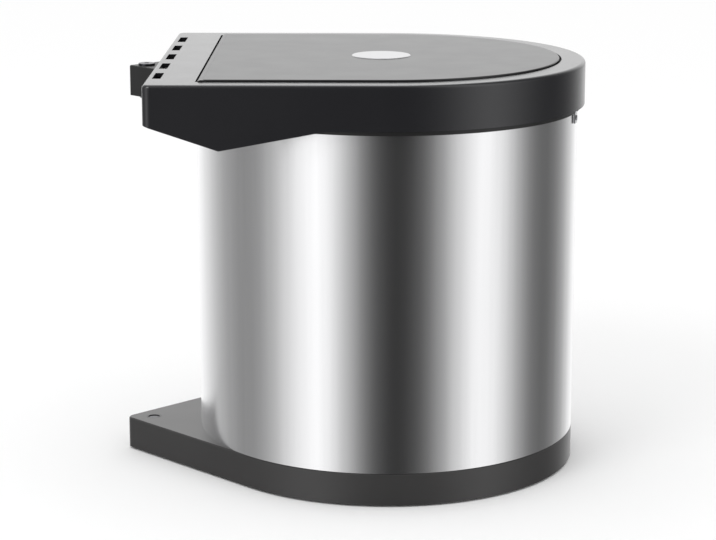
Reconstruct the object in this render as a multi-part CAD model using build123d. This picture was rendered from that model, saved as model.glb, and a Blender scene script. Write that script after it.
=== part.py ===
from build123d import *
import os
from math import acos, cos, pi, radians, sin, sqrt, tan

# Built-in swing-out bin for a kitchen cabinet, in millimetres.
# The origin is on the floor under the axis of the steel bucket. +Z is up, the pivot
# corner points to -X, and the bin swings out towards -Y about the upright pivot axis.

# Driving dimensions: bucket and base
bucket_radius = 130.0
bucket_wall = 0.8
bucket_height = 229.5
hem_height = 4.5
bead_radius = 1.5
base_height = 22.5
base_wall = 2.5
base_corner_radius = 5.6
floor_gap = 1.0
pivot_x = -164.0
rib_thickness = 2.0
rib_rise = 1.6
rib_ring_radius = 62.0
rib_count = 8
glide_radius = 9.0
glide_height = 2.5
glide_circle = 104.0
glide_count = 4
base_screw_circle = 121.0
base_screw_radius = 2.0
base_screw_length = 16.0

# Driving dimensions: floor plate and lower pivot
plate_radius = 11.0
plate_thickness = 2.5
plate_hole_circle = 15.0
plate_hole_radius = 1.5
plate_hole_count = 3
stud_radius = 4.0
bush_wall = 1.45
bush_flange_width = 2.2
bush_flange_height = 1.5

# Driving dimensions: swing frame and its hollow arm
collar_overlap = 6.5
collar_wall = 1.2
deck_thickness = 2.7
mouth_radius = 106.5
mouth_lip_height = 4.3
mouth_lip_wall = 2.0
deck_left = -151.4
arm_tip_x = -175.6
arm_half_width = 22.0
arm_right = -130.0
arm_wall = 2.0
arm_height = 18.2
arm_floor = 3.0
arm_drop = 0.9
arm_cover_thickness = 2.5

# Driving dimensions: rim housing
housing_radius = 134.7
housing_left = -154.0
housing_corner = 5.0
housing_wall = 2.5
skirt_height = 29.3
top_thickness = 2.8
top_edge_fillet = 2.4
cheek_low_x = -106.0
cheek_low_drop = 12.5
cheek_left_rise = 3.5
cheek_right_x = -39.0
lid_gap = 1.5
inner_wall = 1.5
ledge_width = 3.9
ledge_thickness = 1.5
ledge_depth = 3.0
slot_count = 5
slot_pitch = 46.0
slot_length = 26.0
slot_width = 5.5
slot_inset = 4.0
housing_screw_radius = 1.5
housing_screw_length = 16.0
housing_screw_circle = 124.0
corner_boss_x = -140.0
corner_boss_y = 112.0

# Driving dimensions: lid
lid_radius = 117.0
lid_hinge_x = -117.5
lid_thickness = 3.0
lid_raise = 1.2
barrel_radius = 3.5
barrel_drop = 0.1
barrel_groove = 1.2
lid_rib_radius = 90.0
lid_rib_height = 3.0
lid_hub_radius = 12.0
seal_inner = 103.5
seal_width = 4.0
seal_height = 4.0
badge_radius = 20.0
badge_x = -4.0
badge_depth = 0.8
badge_thickness = 1.2
hinge_pin_radius = 1.75
hinge_pin_length = 12.0

# Driving dimensions: lid lift drive
module = 0.8
pressure_angle = radians(20.0)
pinion_teeth = 11
idler_teeth = 24
sector_teeth = 13
tooth_addendum = 0.5
tooth_dedendum = 0.68
backlash = 0.12
gear_face = 6.0
sector_face = 3.0
pin_radius = 3.0
pin_head_radius = 5.7
pin_head_height = 1.5
pin_tap_radius = 1.65
pin_tap_depth = 12.0
idler_axle_radius = 2.5
rack_back = 3.35
rack_bottom_gap = 0.5
rail_wall = 2.0
rail_height = 9.0

# Driving dimensions: inner pail and its bail
pail_bottom_radius = 93.0
pail_top_radius = 105.3
pail_wall = 1.6
pail_floor_z = 34.0
pail_rim_width = 4.2
pail_rim_height = 2.0
bail_radius = 95.0
bail_wire_radius = 1.5
bail_height = 3.0
bail_drop = 6.0
ear_length = 8.0
ear_thickness = 3.0
ear_height = 6.0
grip_radius = 2.5
grip_half_angle = 14.0

# Driving dimensions: small parts
clip_angles = (-15.0, 105.0, 225.0)
clip_width = 7.0
clip_height = 14.0
clip_thickness = 1.0
clip_rivet_radius = 1.8
buffer_radius = 1.8
buffer_angles = (-80.0, -30.0, 30.0, 80.0)
housing_screw_angles = (-75.0, -20.0, 20.0, 75.0)

# Named clearances
running_clearance = 0.05
slide_clearance = 0.12
seat_clearance = 0.3

# Levels that follow from the driving dimensions
bucket_top = base_height + bucket_height
deck_bottom = bucket_top + seat_clearance
deck_top = deck_bottom + deck_thickness
skirt_bottom = bucket_top - 3.5
housing_top = skirt_bottom + skirt_height
plate_underside = housing_top - top_thickness
arm_bottom = deck_bottom - arm_drop
arm_top = arm_bottom + arm_height
arm_floor_top = arm_bottom + arm_floor
cover_top = arm_top + arm_cover_thickness
lid_top = housing_top + lid_raise
lid_underside = lid_top - lid_thickness
hinge_z = lid_top - barrel_radius - barrel_drop
ledge_top = lid_underside - ledge_depth
opening_radius = lid_radius + lid_gap
opening_left = lid_hinge_x - barrel_radius - 0.4
pitch = pi * module
pinion_pitch = pinion_teeth * module / 2
idler_pitch = idler_teeth * module / 2
sector_pitch = sector_teeth * module / 2
idler_x = pivot_x + pinion_pitch + idler_pitch
gear_bottom = arm_floor_top + 4.6
gear_top = gear_bottom + gear_face
rack_travel = pinion_pitch * pi / 2
rack_root_y = idler_pitch + tooth_dedendum
rack_back_y = rack_root_y + rack_back
rack_pitch_z = hinge_z - sector_pitch
rack_bottom = gear_bottom - rack_bottom_gap
pail_rim_radius = pail_top_radius + pail_rim_width
pail_rim_top = deck_top + pail_rim_height
bail_z = pail_rim_top + bail_height

os.makedirs("parts", exist_ok=True)


def save(name, *solids):
    shape = solids[0] if len(solids) == 1 else Compound(children=list(solids))
    export_step(shape, f"parts/{name}.step")


def rod(radius, z0, z1, x=0.0, y=0.0):
    return Pos(x, y, (z0 + z1) / 2) * Cylinder(radius, z1 - z0)


def tube(outer, inner, z0, z1, x=0.0, y=0.0):
    return rod(outer, z0, z1, x, y) - rod(inner, z0 - 1, z1 + 1, x, y)


def block(x0, x1, y0, y1, z0, z1):
    centre = Pos((x0 + x1) / 2, (y0 + y1) / 2, (z0 + z1) / 2)
    return centre * Box(x1 - x0, y1 - y0, z1 - z0)


def prism(face, z0, z1):
    return Pos(0, 0, z0) * extrude(face, z1 - z0, dir=(0, 0, 1))


def ring_points(radius, angles):
    return [(radius * cos(radians(a)), radius * sin(radians(a))) for a in angles]


def even_angles(count, first=0.0):
    return [first + 360.0 * i / count for i in range(count)]


def screw(x, y, seat_z, length, radius, head=1.75, head_height=1.3, up=False):
    way = 1 if up else -1
    shank = rod(radius, min(seat_z, seat_z + way * length), max(seat_z, seat_z + way * length), x, y)
    top = seat_z - way * head_height * radius
    cap = rod(head * radius, min(seat_z, top), max(seat_z, top), x, y)
    slot = block(x - head * radius, x + head * radius, y - 0.3, y + 0.3,
                 top - 0.5 * radius, top + 0.5 * radius)
    return shank + cap - slot


# Outlines


def teardrop(radius, corner):
    """Circle with one square corner towards -X, its sides tangent to the circle."""
    tip, side = radius * sqrt(2), radius / sqrt(2)
    square = Polygon((-tip, 0), (-side, -side), (0, 0), (-side, side), align=None)
    square = fillet(square.vertices().sort_by(Axis.X)[0], corner)
    return Circle(radius) + square


def d_outline(radius, left, corner=0.0):
    """Half circle towards +X with straight sides that run to a flat left edge."""
    straight = Polygon((left, -radius), (0, -radius), (0, radius), (left, radius), align=None)
    if corner > 0:
        straight = fillet(straight.vertices().sort_by(Axis.X)[:2], corner)
    return Circle(radius) + straight


def arm_outline(inset=0.0):
    """Square corner towards -X that widens to the straight sides of the arm."""
    tip = arm_tip_x + inset * sqrt(2)
    half = arm_half_width - inset
    return Polygon((tip, 0), (tip + half, -half), (arm_right - inset, -half),
                   (arm_right - inset, half), (tip + half, half), align=None)


# Gear teeth


def tooth_points(radius):
    """Half outline of one involute tooth about the +X direction, root to tip."""
    base = radius * cos(pressure_angle)
    root, tip = radius - tooth_dedendum, radius + tooth_addendum
    half = (pitch / 2 - backlash) / 2 / radius + tan(pressure_angle) - pressure_angle
    start = max(base, root)
    points = [((root - 0.3) * cos(half), (root - 0.3) * sin(half))]
    for i in range(5):
        r = start + (tip - start) * i / 4
        roll = acos(base / r)
        angle = half - tan(roll) + roll
        points.append((r * cos(angle), r * sin(angle)))
    return points


def toothed_disc(radius, teeth_angles):
    flank = tooth_points(radius)
    mirrored = [(x, -y) for x, y in reversed(flank)]
    tooth = Polygon(*reversed(flank + mirrored), align=None)
    face = Circle(radius - tooth_dedendum)
    for angle in teeth_angles:
        face += Rot(0, 0, angle) * tooth
    return face


def rack_tooth():
    """Straight-sided rack tooth that points along +Y from a root line at y = 0."""
    half = (pitch / 2 - backlash) / 2
    root = half + tooth_dedendum * tan(pressure_angle)
    tip = half - tooth_addendum * tan(pressure_angle)
    height = tooth_dedendum + tooth_addendum
    return Polygon((-root, -0.2), (root, -0.2), (root, 0), (tip, height), (-tip, height),
                   (-root, 0), align=None)


# Cabinet side of the pivot

stud_top = base_height - 0.5
pin_foot = arm_bottom - 2.2


def make_floor_plate():
    plate = rod(plate_radius, 0, plate_thickness, pivot_x)
    plate = chamfer(plate.edges().sort_by(Axis.Z)[-1], 0.6)
    for x, y in ring_points(plate_hole_circle / 2, even_angles(plate_hole_count, 60)):
        plate -= rod(plate_hole_radius, -1, plate_thickness + 1, pivot_x + x, y)
    return plate


def make_lower_stud():
    stud = rod(stud_radius, plate_thickness, stud_top, pivot_x)
    return chamfer(stud.edges().sort_by(Axis.Z)[-1], 0.5)


def make_upper_pin():
    """Pivot pin with a round head, a tapped top and the fixed pinion cut on its shank."""
    pin = rod(pin_radius, pin_foot, cover_top, pivot_x)
    head = rod(pin_head_radius, cover_top, cover_top + pin_head_height, pivot_x)
    head = fillet(head.edges().sort_by(Axis.Z)[-1], 0.5)
    pinion = toothed_disc(pinion_pitch, even_angles(pinion_teeth))
    pin += head
    pin += Pos(pivot_x, 0, 0) * prism(pinion, gear_bottom, gear_top)
    tap_top = cover_top + pin_head_height
    pin -= rod(pin_tap_radius, tap_top - pin_tap_depth, tap_top + 1, pivot_x)
    return pin


def make_pin_clip():
    """Spring washer that keeps the pin from lifting out of the arm."""
    clip = tube(pin_radius + 2.2, pin_radius + 0.02, pin_foot + 0.7, pin_foot + 1.5, pivot_x)
    return clip - block(pivot_x - 8, pivot_x - pin_radius, -1, 1, pin_foot, pin_foot + 2)


# Base

bush_outer = stud_radius + running_clearance + bush_wall
ring_outer = bucket_radius - 2 * bucket_wall - seat_clearance
ring_top = base_height + hem_height
base_screw_points = ring_points(base_screw_circle, even_angles(4, 22.5))
glide_points = [(0.0, 0.0)] + ring_points(glide_circle, even_angles(glide_count, 45))


def make_base_tray():
    outer = prism(teardrop(bucket_radius, base_corner_radius), floor_gap, base_height)
    outer = chamfer(outer.faces().sort_by(Axis.Z)[-1].edges(), 0.8)
    inner_radius = bucket_radius - base_wall
    ceiling = base_height - base_wall
    cavity = prism(teardrop(inner_radius, base_corner_radius - base_wall), floor_gap - 1, ceiling)
    rib_bottom = glide_height + rib_rise
    ribs = tube(rib_ring_radius + rib_thickness / 2, rib_ring_radius - rib_thickness / 2,
                rib_bottom, ceiling)
    for angle in even_angles(rib_count):
        reach = inner_radius if angle != 180 else -pivot_x - bush_outer
        ribs += Rot(0, 0, angle) * block(glide_radius, reach, -rib_thickness / 2,
                                         rib_thickness / 2, rib_bottom, ceiling)
    for x, y in glide_points:
        ribs += rod(glide_radius + 0.5, glide_height, ceiling, x, y)
    boss_bottom = plate_thickness + bush_flange_height
    ribs += rod(bush_outer + 2.2, boss_bottom, ceiling, pivot_x)
    for x, y in base_screw_points:
        ribs += rod(base_screw_radius + 3, ring_top - base_screw_length, ceiling, x, y)
    tray = outer - cavity + ribs
    tray += tube(ring_outer, base_screw_circle - 5, base_height - 0.5, ring_top)
    tray -= rod(bush_outer + running_clearance, 0, base_height + 1, pivot_x)
    for x, y in base_screw_points:
        tray -= rod(base_screw_radius + 0.03, 5, ring_top + 1, x, y)
    for x, y in glide_points:
        tray -= rod(glide_radius / 2 + running_clearance, 0, glide_height + 6, x, y)
    return tray


def make_glides():
    pads = []
    for x, y in glide_points:
        pad = rod(glide_radius, 0, glide_height, x, y)
        pads.append(pad + rod(glide_radius / 2, glide_height, glide_height + 5, x, y))
    return pads


def make_lower_bush():
    flange_top = plate_thickness + bush_flange_height
    bush = rod(bush_outer, flange_top, base_height, pivot_x)
    bush += rod(bush_outer + bush_flange_width, plate_thickness, flange_top, pivot_x)
    return bush - rod(stud_radius + running_clearance, 0, base_height + 1, pivot_x)


def make_base_screws():
    seat = ring_top + bucket_wall
    return [screw(x, y, seat, base_screw_length, base_screw_radius) for x, y in base_screw_points]


# Steel bucket


def make_bucket():
    """Rolled steel wall with a folded hem, a recessed floor and an inward top bead."""
    r, wall = bucket_radius, bucket_wall
    bead_x, bead_z = r - bead_radius, bucket_top - bead_radius
    section = Pos(r - wall / 2, (base_height + bead_z) / 2) * Rectangle(wall, bead_z - base_height)
    section += Pos(r - wall, base_height + (hem_height + wall) / 2) * Rectangle(
        2 * wall, hem_height + wall)
    section += Pos((r - wall) / 2, ring_top + wall / 2) * Rectangle(r - wall, wall)
    section += Pos(bead_x, bead_z) * Circle(bead_radius)
    bucket = revolve(Plane.XZ * section, Axis.Z)
    for x, y in base_screw_points:
        bucket -= rod(base_screw_radius + 0.3, ring_top - 1, ring_top + 2, x, y)
    return bucket


# Swing frame: ring, deck and hollow arm

cover_screw_points = [(idler_x, -18.0), (idler_x, 18.0), (arm_right - 5.5, -5.0)]
housing_screw_points = ring_points(housing_screw_circle, housing_screw_angles)
housing_screw_points += [(corner_boss_x, -corner_boss_y), (corner_boss_x, corner_boss_y)]
pin_bush_outer = pin_radius + running_clearance + bush_wall
rack_left = idler_x - rack_travel - pitch / 2
rack_right = lid_hinge_x + pitch * 0.36


def make_swing_frame():
    collar_inner = bucket_radius + seat_clearance
    collar_outer = collar_inner + collar_wall
    collar = tube(collar_outer, collar_inner, bucket_top - collar_overlap, deck_bottom)
    for angle in clip_angles:
        collar -= Rot(0, 0, angle) * block(bucket_radius - 2, collar_outer + 2,
                                           -clip_width / 2 - 0.3, clip_width / 2 + 0.3,
                                           bucket_top - collar_overlap - 1, deck_bottom)
    frame = prism(d_outline(collar_outer, deck_left, housing_corner), deck_bottom, deck_top)
    frame += collar
    frame += rod(mouth_radius + mouth_lip_wall, deck_bottom - mouth_lip_height, deck_top)
    frame += prism(arm_outline(), arm_bottom, arm_top)
    frame -= prism(arm_outline(arm_wall), arm_floor_top, arm_top + 1)
    frame -= rod(mouth_radius, arm_bottom - 10, arm_top + 1)
    channel, window = make_rack_channel()
    frame = frame + channel - window
    for x, y in cover_screw_points:
        frame += rod(3.0, arm_floor_top, arm_top, x, y)
        frame -= rod(housing_screw_radius + 0.03, arm_top - 10, arm_top + 1, x, y)
    frame += rod(idler_axle_radius + 2, arm_floor_top, gear_bottom - 0.6, idler_x)
    frame -= rod(idler_axle_radius + 0.03, arm_bottom - 1, gear_bottom, idler_x)
    frame -= rod(pin_bush_outer + running_clearance, arm_bottom - 1, arm_floor_top + 1, pivot_x)
    for x, y in housing_screw_points:
        frame -= rod(housing_screw_radius + 0.3, deck_bottom - 1, deck_top + 1, x, y)
    return frame


def make_rack_channel():
    """Rails that carry the rack from the arm to the edge of the mouth."""
    right = -pail_rim_radius - 0.8
    back = rack_back_y + slide_clearance
    front = rack_root_y - slide_clearance
    channel = block(idler_x, right, back, back + rail_wall, deck_top - 1, deck_top + rail_height)
    channel += block(arm_right, right, front - rail_wall, front, deck_top - 1,
                     deck_top + rail_height)
    channel += block(rack_left, right, front, back, arm_floor_top - 1, rack_bottom - slide_clearance)
    window = block(arm_right - arm_wall - 1, arm_right + 1, front, back,
                   rack_bottom - slide_clearance, arm_top + 1)
    return channel, window


def make_arm_cover():
    cover = prism(arm_outline(), arm_top, cover_top)
    cover = chamfer(cover.faces().sort_by(Axis.Z)[-1].edges(), 0.5)
    cover -= rod(pin_bush_outer + running_clearance, arm_top - 1, cover_top + 1, pivot_x)
    for x, y in cover_screw_points:
        cover -= rod(housing_screw_radius + 0.2, arm_top - 1, cover_top + 1, x, y)
        cover -= rod(housing_screw_radius * 2 + 0.1, cover_top - 1.5, cover_top + 1, x, y)
    return cover


def make_cover_screws():
    seat = cover_top - 1.5
    return [screw(x, y, seat, 10, housing_screw_radius, head_height=0.9)
            for x, y in cover_screw_points]


def make_pin_bushes():
    """Flanged plastic bushes in the floor of the arm and in its cover."""
    pair = []
    for z0, z1, flange0 in ((arm_bottom, arm_floor_top, arm_floor_top),
                            (arm_top, cover_top, arm_top - bush_flange_height)):
        bush = rod(pin_bush_outer, z0, z1, pivot_x)
        bush += rod(pin_bush_outer + 1.5, flange0, flange0 + bush_flange_height, pivot_x)
        pair.append(bush - rod(pin_radius + running_clearance, z0 - 3, z1 + 3, pivot_x))
    return pair


def make_idler_axle():
    axle = rod(idler_axle_radius, arm_bottom, arm_top - 1.2, idler_x)
    return axle + rod(idler_axle_radius + 1.6, arm_bottom - 1.2, arm_bottom, idler_x)


# Rim housing


def make_skirt_cut():
    """Everything under the lower edge of the skirt and its two cheeks, seen from the front."""
    left = housing_left - 5
    low = skirt_bottom - cheek_low_drop
    edge_z = skirt_bottom + cheek_left_rise
    points = [(left, low - 5), (left, edge_z), (housing_left, edge_z), (cheek_low_x, low),
              (cheek_right_x, skirt_bottom), (housing_radius + 5, skirt_bottom),
              (housing_radius + 5, low - 5)]
    face = Plane.XZ * Polygon(*points, align=None)
    return extrude(face, housing_radius + 5, both=True)


def make_rim_housing():
    low = skirt_bottom - cheek_low_drop
    shell = prism(d_outline(housing_radius, housing_left, housing_corner), low - 1, housing_top)
    shell = fillet(shell.faces().sort_by(Axis.Z)[-1].edges(), top_edge_fillet)
    inside = prism(d_outline(housing_radius - housing_wall, housing_left + housing_wall,
                             housing_corner - housing_wall), low - 2, plate_underside)
    shell = shell - inside - make_skirt_cut()
    wall = prism(d_outline(opening_radius + inner_wall, opening_left - inner_wall), deck_top,
                 plate_underside + 0.5)
    wall -= block(housing_left, lid_hinge_x + 10, -60, 60, deck_top - 1, plate_underside)
    ledge = prism(d_outline(opening_radius, lid_hinge_x + 10), ledge_top - ledge_thickness, ledge_top)
    ledge -= prism(d_outline(opening_radius - ledge_width, lid_hinge_x - 5), ledge_top - 5,
                   ledge_top + 1)
    opening = prism(d_outline(opening_radius, opening_left), deck_top - 1, housing_top + 1)
    shell = shell + wall - opening + ledge
    for x, y in housing_screw_points:
        shell += rod(3.6, deck_top, plate_underside + 0.5, x, y)
        shell -= rod(housing_screw_radius + 0.03, deck_top - 1, deck_top + 15, x, y)
    for side in (-1, 1):
        inner, outer = side * opening_radius, side * (opening_radius + 7)
        shell += block(opening_left, opening_left + 8, min(inner, outer), max(inner, outer),
                       hinge_z - 4.5, housing_top - 0.5)
    shell -= Pos(lid_hinge_x, 0, hinge_z) * Rot(90, 0, 0) * Cylinder(
        hinge_pin_radius + 0.03, 2 * (lid_radius + 1 + hinge_pin_length / 2))
    for i in range(slot_count):
        y = (i - (slot_count - 1) / 2) * slot_pitch
        left = housing_left + slot_inset
        shell -= block(left, left + slot_width, y - slot_length / 2, y + slot_length / 2,
                       plate_underside - 1, housing_top + 1)
    shell -= block(housing_left - 1, deck_left, -arm_half_width - 0.4, arm_half_width + 0.4,
                   low, cover_top + 0.2)
    shell -= block(opening_left - 4, opening_left + 1, rack_root_y - 0.5,
                   rack_root_y + sector_face + 1, plate_underside - 1, hinge_z + 1.2)
    return shell


def make_housing_screws():
    return [screw(x, y, deck_bottom, housing_screw_length, housing_screw_radius, up=True)
            for x, y in housing_screw_points]


def make_lid_buffers():
    middle = opening_radius - ledge_width / 2
    return [rod(buffer_radius, ledge_top, lid_underside, x, y)
            for x, y in ring_points(middle, buffer_angles)]


def make_rim_clips():
    """Steel clips that tie the bucket to the collar of the frame."""
    clips = []
    inner = bucket_radius + seat_clearance
    for angle in clip_angles:
        bottom = deck_bottom - clip_height
        strip = tube(inner + clip_thickness, inner, bottom, deck_bottom)
        strip = strip & block(bucket_radius - 5, bucket_radius + 5, -clip_width / 2,
                              clip_width / 2, bottom, deck_bottom)
        rivet = Pos(inner + clip_thickness, 0, bottom + 3.4) * Rot(0, 90, 0) * Cylinder(
            clip_rivet_radius, 1.4)
        clips.append(Rot(0, 0, angle) * (strip + rivet))
    return clips


def make_hinge_pins():
    start = lid_radius + 1 - hinge_pin_length / 2
    pins = []
    for side in (-1, 1):
        y = side * (start + hinge_pin_length / 2)
        pins.append(Pos(lid_hinge_x, y, hinge_z) * Rot(90, 0, 0) * Cylinder(
            hinge_pin_radius, hinge_pin_length - 0.4))
    return pins


# Lid


def make_lid_panel():
    panel_left = lid_hinge_x + barrel_groove
    panel = prism(d_outline(lid_radius, panel_left), lid_underside, lid_top)
    rim_edges = [e for e in panel.faces().sort_by(Axis.Z)[-1].edges()
                 if e.center().X > panel_left + 1]
    panel = fillet(rim_edges, 0.8)
    barrel_half = opening_radius - seat_clearance
    barrel = Pos(lid_hinge_x, 0, hinge_z) * Rot(90, 0, 0) * Cylinder(barrel_radius, 2 * barrel_half)
    panel += barrel
    panel += tube(lid_rib_radius + 1, lid_rib_radius - 1, lid_underside - lid_rib_height,
                  lid_underside + 0.5)
    for angle in even_angles(6):
        panel += Rot(0, 0, angle) * block(lid_hub_radius - 1, lid_rib_radius, -0.9, 0.9,
                                          lid_underside - lid_rib_height, lid_underside + 0.5)
    panel += tube(lid_hub_radius, lid_hub_radius - 1.8, lid_underside - lid_rib_height,
                  lid_underside + 0.5)
    step = 360.0 / sector_teeth
    teeth = [-90 - step / 2 - step * k for k in range(-1, 4)]
    sector = toothed_disc(sector_pitch, teeth)
    keep = Polygon((0, 0.8), (-8, 0.8), (-8, -8), (8, -8), (0, 0), align=None)
    sector = extrude(Plane.XZ * (sector & keep), sector_face)
    panel += Pos(lid_hinge_x, rack_root_y + sector_face + 0.2, hinge_z) * sector
    panel -= rod(badge_radius + running_clearance, lid_top - badge_depth, lid_top + 1, badge_x)
    panel -= Pos(lid_hinge_x, 0, hinge_z) * Rot(90, 0, 0) * (
        Cylinder(hinge_pin_radius + running_clearance, 2 * barrel_half + 1)
        - Cylinder(hinge_pin_radius + 1, 2 * (lid_radius + 1 - hinge_pin_length / 2)))
    return panel


def make_lid_badge():
    badge = rod(badge_radius, lid_top - badge_depth, lid_top - badge_depth + badge_thickness, badge_x)
    return chamfer(badge.edges().sort_by(Axis.Z)[-1], 0.3)


def make_lid_seal():
    """Soft ring under the lid with a narrowed lower edge."""
    seal = tube(seal_inner + seal_width, seal_inner, lid_underside - seal_height, lid_underside)
    return chamfer(seal.faces().sort_by(Axis.Z)[0].edges(), seal_width * 0.3)


# Lid lift drive


def make_idler():
    face = Rot(0, 0, 180 / idler_teeth) * toothed_disc(idler_pitch, even_angles(idler_teeth))
    gear = prism(face, gear_bottom, gear_top)
    gear += rod(idler_axle_radius + 2, gear_bottom - 0.4, gear_top + 1.5)
    gear -= tube(idler_pitch - 1.8, idler_axle_radius + 2, gear_top - 1.5, gear_top + 1)
    gear -= rod(idler_axle_radius + running_clearance, gear_bottom - 2, gear_top + 4)
    return Pos(idler_x, 0, 0) * gear


def make_rack():
    top_root = rack_pitch_z - tooth_dedendum
    step_x = lid_hinge_x - rack_travel - 1.25 * pitch
    bar = block(rack_left, rack_right, rack_root_y, rack_back_y, rack_bottom, arm_top - 0.4)
    bar += block(step_x, rack_right, rack_root_y, rack_back_y, rack_bottom, top_root)
    side = extrude(Rot(0, 0, 180) * rack_tooth(), gear_face)
    side_count = int(rack_travel / pitch) + 2
    for k in range(side_count):
        bar += Pos(idler_x - k * pitch, rack_root_y, gear_bottom) * side
    bar += Pos(idler_x + pitch, rack_root_y, gear_bottom) * side
    top = extrude(Plane.XZ * rack_tooth(), -rack_back)
    for k in range(int(rack_travel / pitch) + 2):
        bar += Pos(lid_hinge_x - k * pitch, rack_root_y, top_root) * top
    return bar


# Inner pail with bail


def make_pail():
    z0, z1, wall = pail_floor_z, deck_top, pail_wall
    r0, r1 = pail_bottom_radius, pail_top_radius
    slope = (r1 - r0) / (z1 - z0)
    outer = Polygon((0, z0), (r0, z0), (r1, z1), (pail_rim_radius, z1), (pail_rim_radius, pail_rim_top),
                    (0, pail_rim_top), align=None)
    inner = Polygon((-1, z0 + wall), (r0 - wall, z0 + wall), (r1 - wall + slope * 2, pail_rim_top + 1),
                    (-1, pail_rim_top + 1), align=None)
    pail = revolve(Plane.XZ * (outer - inner), Axis.Z)
    pail += tube(r0 - 4, r0 - 6, z0 - 1.5, z0)
    for side in (-1, 1):
        y = side * (pail_rim_radius - ear_thickness / 2 - 1)
        ear = block(-ear_length / 2, ear_length / 2, y - ear_thickness / 2, y + ear_thickness / 2,
                    pail_rim_top - 1, pail_rim_top + ear_height)
        ear = fillet(ear.edges().filter_by(Axis.Y).sort_by(Axis.Z)[-2:], 2.0)
        pail += ear
    pail -= Pos(0, 0, bail_z) * Rot(90, 0, 0) * Cylinder(bail_wire_radius + running_clearance,
                                                         2 * pail_rim_radius)
    return pail


def arc_rod(radius, wire, first, last, z):
    """Round bar bent to an arc about the pail's axis."""
    section = Plane.XZ * (Pos(radius, 0) * Circle(wire))
    return Pos(0, 0, z) * Rot(0, 0, first) * revolve(section, Axis.Z, last - first)


def dropped(shape):
    """Turn a shape about the bail's pivots, its free end down into the pail's mouth."""
    return Pos(0, 0, bail_z) * Rot(0, bail_drop, 0) * Pos(0, 0, -bail_z) * shape


def make_bail():
    bail = arc_rod(bail_radius, bail_wire_radius, -90, 90, bail_z)
    for side in (-1, 1):
        y0, y1 = side * bail_radius, side * (pail_rim_radius - 0.4)
        bail += Pos(0, (y0 + y1) / 2, bail_z) * Rot(90, 0, 0) * Cylinder(bail_wire_radius, abs(y1 - y0))
        bail += Pos(0, y0, bail_z) * Sphere(bail_wire_radius)
    return dropped(bail)


def make_grip():
    grip = arc_rod(bail_radius, grip_radius, -grip_half_angle, grip_half_angle, bail_z)
    return dropped(grip - arc_rod(bail_radius, bail_wire_radius + running_clearance,
                                  -grip_half_angle - 5, grip_half_angle + 5, bail_z))


# Write every node

save("floor_pivot_plate", make_floor_plate())
save("lower_pivot_stud", make_lower_stud())
save("upper_pivot_pin", make_upper_pin())
save("pivot_pin_clip", make_pin_clip())
save("base_tray", make_base_tray())
save("base_glides", *make_glides())
save("lower_pivot_bush", make_lower_bush())
save("base_screws", *make_base_screws())
save("steel_bucket", make_bucket())
save("swing_frame", make_swing_frame())
save("arm_cover", make_arm_cover())
save("arm_cover_screws", *make_cover_screws())
save("upper_pivot_bushes", *make_pin_bushes())
save("idler_axle", make_idler_axle())
save("rim_housing", make_rim_housing())
save("housing_screws", *make_housing_screws())
save("lid_buffers", *make_lid_buffers())
save("rim_clips", *make_rim_clips())
save("hinge_pins", *make_hinge_pins())
save("lid_panel", make_lid_panel())
save("lid_badge", make_lid_badge())
save("lid_seal", make_lid_seal())
save("lift_idler", make_idler())
save("lift_rack", make_rack())
save("inner_pail", make_pail())
save("pail_bail", make_bail())
save("bail_grip", make_grip())
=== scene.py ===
import bpy
from math import pi
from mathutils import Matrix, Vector

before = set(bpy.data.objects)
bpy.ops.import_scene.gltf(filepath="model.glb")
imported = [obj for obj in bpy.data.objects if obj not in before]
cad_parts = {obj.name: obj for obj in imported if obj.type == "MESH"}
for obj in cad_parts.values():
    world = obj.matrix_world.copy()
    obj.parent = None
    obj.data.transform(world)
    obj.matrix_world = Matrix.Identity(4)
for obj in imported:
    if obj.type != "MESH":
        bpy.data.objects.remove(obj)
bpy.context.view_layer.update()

# Camera, at the photograph's viewing angle

camera_place = Vector((0.0, -1.5592, 0.4876))
camera_target = Vector((-0.0198, 0.0, 0.1289))
camera_lens = 115.6
sensor_width = 36.0


def make_camera():
    data = bpy.data.cameras.new("camera")
    data.lens = camera_lens
    data.sensor_width = sensor_width
    camera = bpy.data.objects.new("camera", data)
    bpy.context.scene.collection.objects.link(camera)
    camera.rotation_euler = (camera_target - camera_place).to_track_quat("-Z", "Y").to_euler()
    camera.location = camera_place
    bpy.context.scene.camera = camera


make_camera()

# World: white room for the eye and for matt surfaces, a ring of soft white and dark
# cards for everything that reflects. Each card is an azimuth in degrees, measured from
# the kitchen side towards +X, with its level as it shows on screen.

cards = ((-180, 1.0), (-165, 1.0), (-93, 0.53), (-44, 0.99), (6, 0.19), (61, 0.985),
         (109, 0.375), (165, 1.0), (180, 1.0))
screen_gamma = 2.2
sky_boost = 1.3
sky_start = -0.02
sky_full = 0.1


def new_tree(owner):
    owner.use_nodes = True
    tree = owner.node_tree
    tree.nodes.clear()
    return tree


def node(tree, kind, **inputs):
    made = tree.nodes.new(kind)
    for name, value in inputs.items():
        made.inputs[name.replace("_", " ")].default_value = value
    return made


def link(tree, out, into):
    tree.links.new(out, into)


def maths(tree, operation, first, second=None):
    made = tree.nodes.new("ShaderNodeMath")
    made.operation = operation
    for socket, value in zip(made.inputs, (first, second)):
        if value is None:
            continue
        if isinstance(value, (int, float)):
            socket.default_value = value
        else:
            link(tree, value, socket)
    return made.outputs[0]


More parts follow.
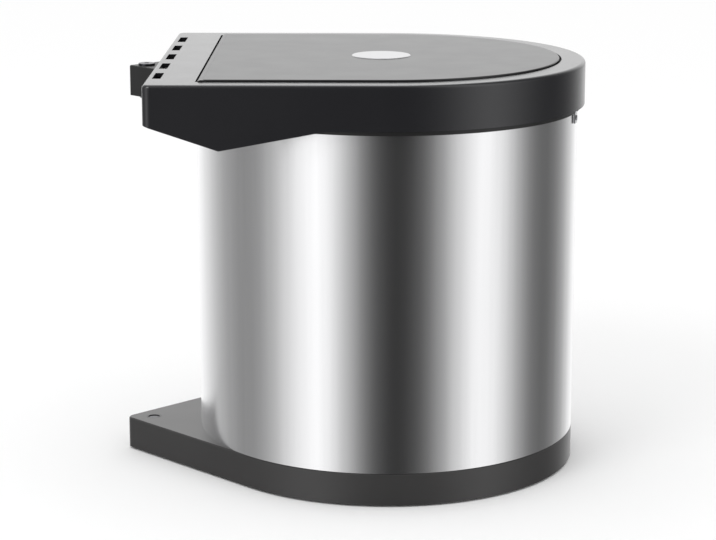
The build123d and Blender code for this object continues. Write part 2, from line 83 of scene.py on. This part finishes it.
def make_world():
    world = bpy.data.worlds.new("room")
    bpy.context.scene.world = world
    tree = new_tree(world)
    direction = tree.nodes.new("ShaderNodeTexCoord").outputs["Generated"]
    parts = tree.nodes.new("ShaderNodeSeparateXYZ")
    link(tree, direction, parts.inputs[0])
    azimuth = maths(tree, "ARCTAN2", parts.outputs[0], maths(tree, "MULTIPLY", parts.outputs[1], -1.0))
    share = maths(tree, "ADD", maths(tree, "DIVIDE", azimuth, 2 * pi), 0.5)
    ramp = tree.nodes.new("ShaderNodeValToRGB")
    ramp.color_ramp.interpolation = "EASE"
    while len(ramp.color_ramp.elements) > 1:
        ramp.color_ramp.elements.remove(ramp.color_ramp.elements[-1])
    for i, (degrees, level) in enumerate(cards):
        place = degrees / 360.0 + 0.5
        stop = ramp.color_ramp.elements[0] if i == 0 else ramp.color_ramp.elements.new(place)
        stop.position = place
        stop.color = (level, level, level, 1)
    link(tree, share, ramp.inputs[0])
    lift = tree.nodes.new("ShaderNodeMapRange")
    lift.inputs["From Min"].default_value = sky_start
    lift.inputs["From Max"].default_value = sky_full
    lift.inputs["To Min"].default_value = 1.0
    lift.inputs["To Max"].default_value = sky_boost
    link(tree, parts.outputs[2], lift.inputs["Value"])
    cards_light = tree.nodes.new("ShaderNodeBackground")
    gamma = node(tree, "ShaderNodeGamma", Gamma=screen_gamma)
    link(tree, ramp.outputs[0], gamma.inputs[0])
    link(tree, gamma.outputs[0], cards_light.inputs[0])
    link(tree, lift.outputs[0], cards_light.inputs[1])
    room = node(tree, "ShaderNodeBackground", Color=(1, 1, 1, 1), Strength=1.0)
    rays = tree.nodes.new("ShaderNodeLightPath")
    choose = tree.nodes.new("ShaderNodeMixShader")
    link(tree, rays.outputs["Is Glossy Ray"], choose.inputs[0])
    link(tree, room.outputs[0], choose.inputs[1])
    link(tree, cards_light.outputs[0], choose.inputs[2])
    out = tree.nodes.new("ShaderNodeOutputWorld")
    link(tree, choose.outputs[0], out.inputs[0])


make_world()


def area_light(name, place, aim, size, energy):
    """Soft disk of light at a place, turned towards its aim."""
    data = bpy.data.lights.new(name, "AREA")
    data.shape = "DISK"
    data.size = size
    data.energy = energy
    light = bpy.data.objects.new(name, data)
    light.location = place
    light.rotation_euler = (Vector(aim) - Vector(place)).to_track_quat("-Z", "Y").to_euler()
    bpy.context.scene.collection.objects.link(light)


area_light("key", (-0.9, -1.2, 1.5), (0, 0, 0.15), 0.9, 7.0)

# Floor

floor_half = 6.0
floor_drop = 0.0004
floor_colour = (0.98, 0.98, 0.98, 1)


def make_floor():
    mesh = bpy.data.meshes.new("floor")
    half = floor_half
    mesh.from_pydata([(-half, -half, 0), (half, -half, 0), (half, half, 0), (-half, half, 0)], [],
                     [(0, 1, 2, 3)])
    floor = bpy.data.objects.new("floor", mesh)
    bpy.context.scene.collection.objects.link(floor)
    floor.location.z = -floor_drop
    floor.visible_glossy = False
    material = bpy.data.materials.new("floor")
    tree = new_tree(material)
    surface = node(tree, "ShaderNodeBsdfPrincipled", Roughness=1.0)
    surface.inputs["Base Color"].default_value = floor_colour
    surface.inputs["Specular IOR Level"].default_value = 0.0
    out = tree.nodes.new("ShaderNodeOutputMaterial")
    link(tree, surface.outputs[0], out.inputs[0])
    mesh.materials.append(material)


make_floor()

# Materials

cloud_scale = 14.0
sheen_scale = 40.0
rough_spread = 0.01
plastic_bump = 0.25
metal_bump = 0.15
shade_share = 0.94


def grain(tree, scale, detail=3.0, stretch=(1, 1, 1)):
    """Noise over the piece's own coordinates, in metres, with a stretch along each axis."""
    place = tree.nodes.new("ShaderNodeTexCoord").outputs["Object"]
    mapping = tree.nodes.new("ShaderNodeMapping")
    mapping.inputs["Scale"].default_value = stretch
    link(tree, place, mapping.inputs["Vector"])
    noise = node(tree, "ShaderNodeTexNoise", Scale=scale, Detail=detail)
    link(tree, mapping.outputs[0], noise.inputs["Vector"])
    return noise.outputs["Fac"]


def spread(tree, value, low, high):
    """Maps noise from its usual middle range to the range low to high."""
    made = node(tree, "ShaderNodeMapRange", From_Min=0.3, From_Max=0.7, To_Min=low, To_Max=high)
    link(tree, value, made.inputs["Value"])
    return made.outputs[0]


def mixed(tree, value, first, second):
    made = tree.nodes.new("ShaderNodeMix")
    made.data_type = "RGBA"
    link(tree, value, made.inputs["Factor"])
    made.inputs["A"].default_value = (*first, 1)
    made.inputs["B"].default_value = (*second, 1)
    return made.outputs["Result"]


def bumped(tree, surface, height, strength, distance):
    bump = node(tree, "ShaderNodeBump", Strength=strength, Distance=distance)
    link(tree, height, bump.inputs["Height"])
    link(tree, bump.outputs[0], surface.inputs["Normal"])


def finish_material(name, metallic=0.0, ior=1.5):
    material = bpy.data.materials.new(name)
    tree = new_tree(material)
    surface = node(tree, "ShaderNodeBsdfPrincipled", Metallic=metallic, IOR=ior)
    out = tree.nodes.new("ShaderNodeOutputMaterial")
    link(tree, surface.outputs[0], out.inputs[0])
    return material, tree, surface


def plastic(name, dark, light, rough, texture=2600.0, depth=0.000012, ior=1.5):
    material, tree, surface = finish_material(name, ior=ior)
    cloud = grain(tree, cloud_scale)
    link(tree, mixed(tree, spread(tree, cloud, 0, 1), dark, light), surface.inputs["Base Color"])
    sheen = grain(tree, sheen_scale)
    link(tree, spread(tree, sheen, rough - rough_spread, rough + rough_spread),
         surface.inputs["Roughness"])
    bumped(tree, surface, grain(tree, texture, 2.0), plastic_bump, depth)
    return material


def metal(name, tint, rough, stretch=(1, 1, 1), scale=900.0, depth=0.000004, spread_width=0.03,
          brushed=0.0, turn=0.0):
    material, tree, surface = finish_material(name, metallic=1.0)
    surface.inputs["Anisotropic"].default_value = brushed
    surface.inputs["Anisotropic Rotation"].default_value = turn
    lines = grain(tree, scale, 4.0, stretch)
    shade = tuple(shade_share * c for c in tint)
    link(tree, mixed(tree, spread(tree, lines, 0, 1), shade, tint), surface.inputs["Base Color"])
    link(tree, spread(tree, lines, rough - spread_width, rough + spread_width),
         surface.inputs["Roughness"])
    bumped(tree, surface, lines, metal_bump, depth)
    return material


materials = {
    "housing": plastic("black_housing_plastic", (0.013, 0.013, 0.015), (0.015, 0.015, 0.017), 0.2,
                       ior=1.62),
    "lid": plastic("black_lid_plastic", (0.015, 0.015, 0.016), (0.017, 0.017, 0.018), 0.3,
                   ior=1.55),
    "base": plastic("black_base_plastic", (0.034, 0.033, 0.033), (0.04, 0.039, 0.039), 0.3),
    "frame": plastic("black_frame_plastic", (0.012, 0.012, 0.012), (0.018, 0.018, 0.018), 0.42),
    "pail": plastic("dark_pail_plastic", (0.05, 0.05, 0.053), (0.065, 0.065, 0.068), 0.4),
    "grip": plastic("grip_plastic", (0.015, 0.015, 0.015), (0.022, 0.022, 0.022), 0.5),
    "rubber": plastic("black_rubber", (0.014, 0.014, 0.014), (0.022, 0.021, 0.021), 0.7, 1500.0),
    "pad": plastic("grey_glide", (0.22, 0.22, 0.22), (0.28, 0.28, 0.28), 0.6),
    "acetal": plastic("natural_acetal", (0.74, 0.73, 0.68), (0.8, 0.79, 0.74), 0.35),
    "bush": plastic("dark_bush_plastic", (0.03, 0.03, 0.032), (0.04, 0.04, 0.042), 0.35),
    "steel": metal("polished_steel", (0.99, 0.99, 1.0), 0.22, (1, 1, 0.02), 120.0, 0.0000002, 0.005,
                   brushed=0.9, turn=0.25),
    "zinc": metal("zinc_plated_steel", (0.72, 0.72, 0.74), 0.25),
    "dark_steel": metal("blackened_steel", (0.09, 0.09, 0.1), 0.3),
    "badge": metal("satin_badge", (0.6, 0.6, 0.61), 0.34, (1, 1, 1), 1600.0),
}

dressing = {
    "floor_pivot_plate": "zinc", "lower_pivot_stud": "dark_steel", "upper_pivot_pin": "dark_steel",
    "pivot_pin_clip": "zinc", "base_tray": "base", "base_glides": "pad", "lower_pivot_bush": "bush",
    "base_screws": "zinc", "steel_bucket": "steel", "swing_frame": "frame", "arm_cover": "frame",
    "arm_cover_screws": "zinc", "upper_pivot_bushes": "bush", "idler_axle": "zinc",
    "rim_housing": "housing", "housing_screws": "zinc", "lid_buffers": "rubber",
    "rim_clips": "zinc", "hinge_pins": "zinc", "lid_panel": "lid", "lid_badge": "badge",
    "lid_seal": "rubber", "lift_idler": "acetal", "lift_rack": "acetal", "inner_pail": "pail",
    "pail_bail": "zinc", "bail_grip": "grip",
}


def dress_frame():
    for name, finish in dressing.items():
        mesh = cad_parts[name].data
        mesh.materials.clear()
        mesh.materials.append(materials[finish])


dress_frame()

bpy.context.scene.view_settings.view_transform = "Standard"
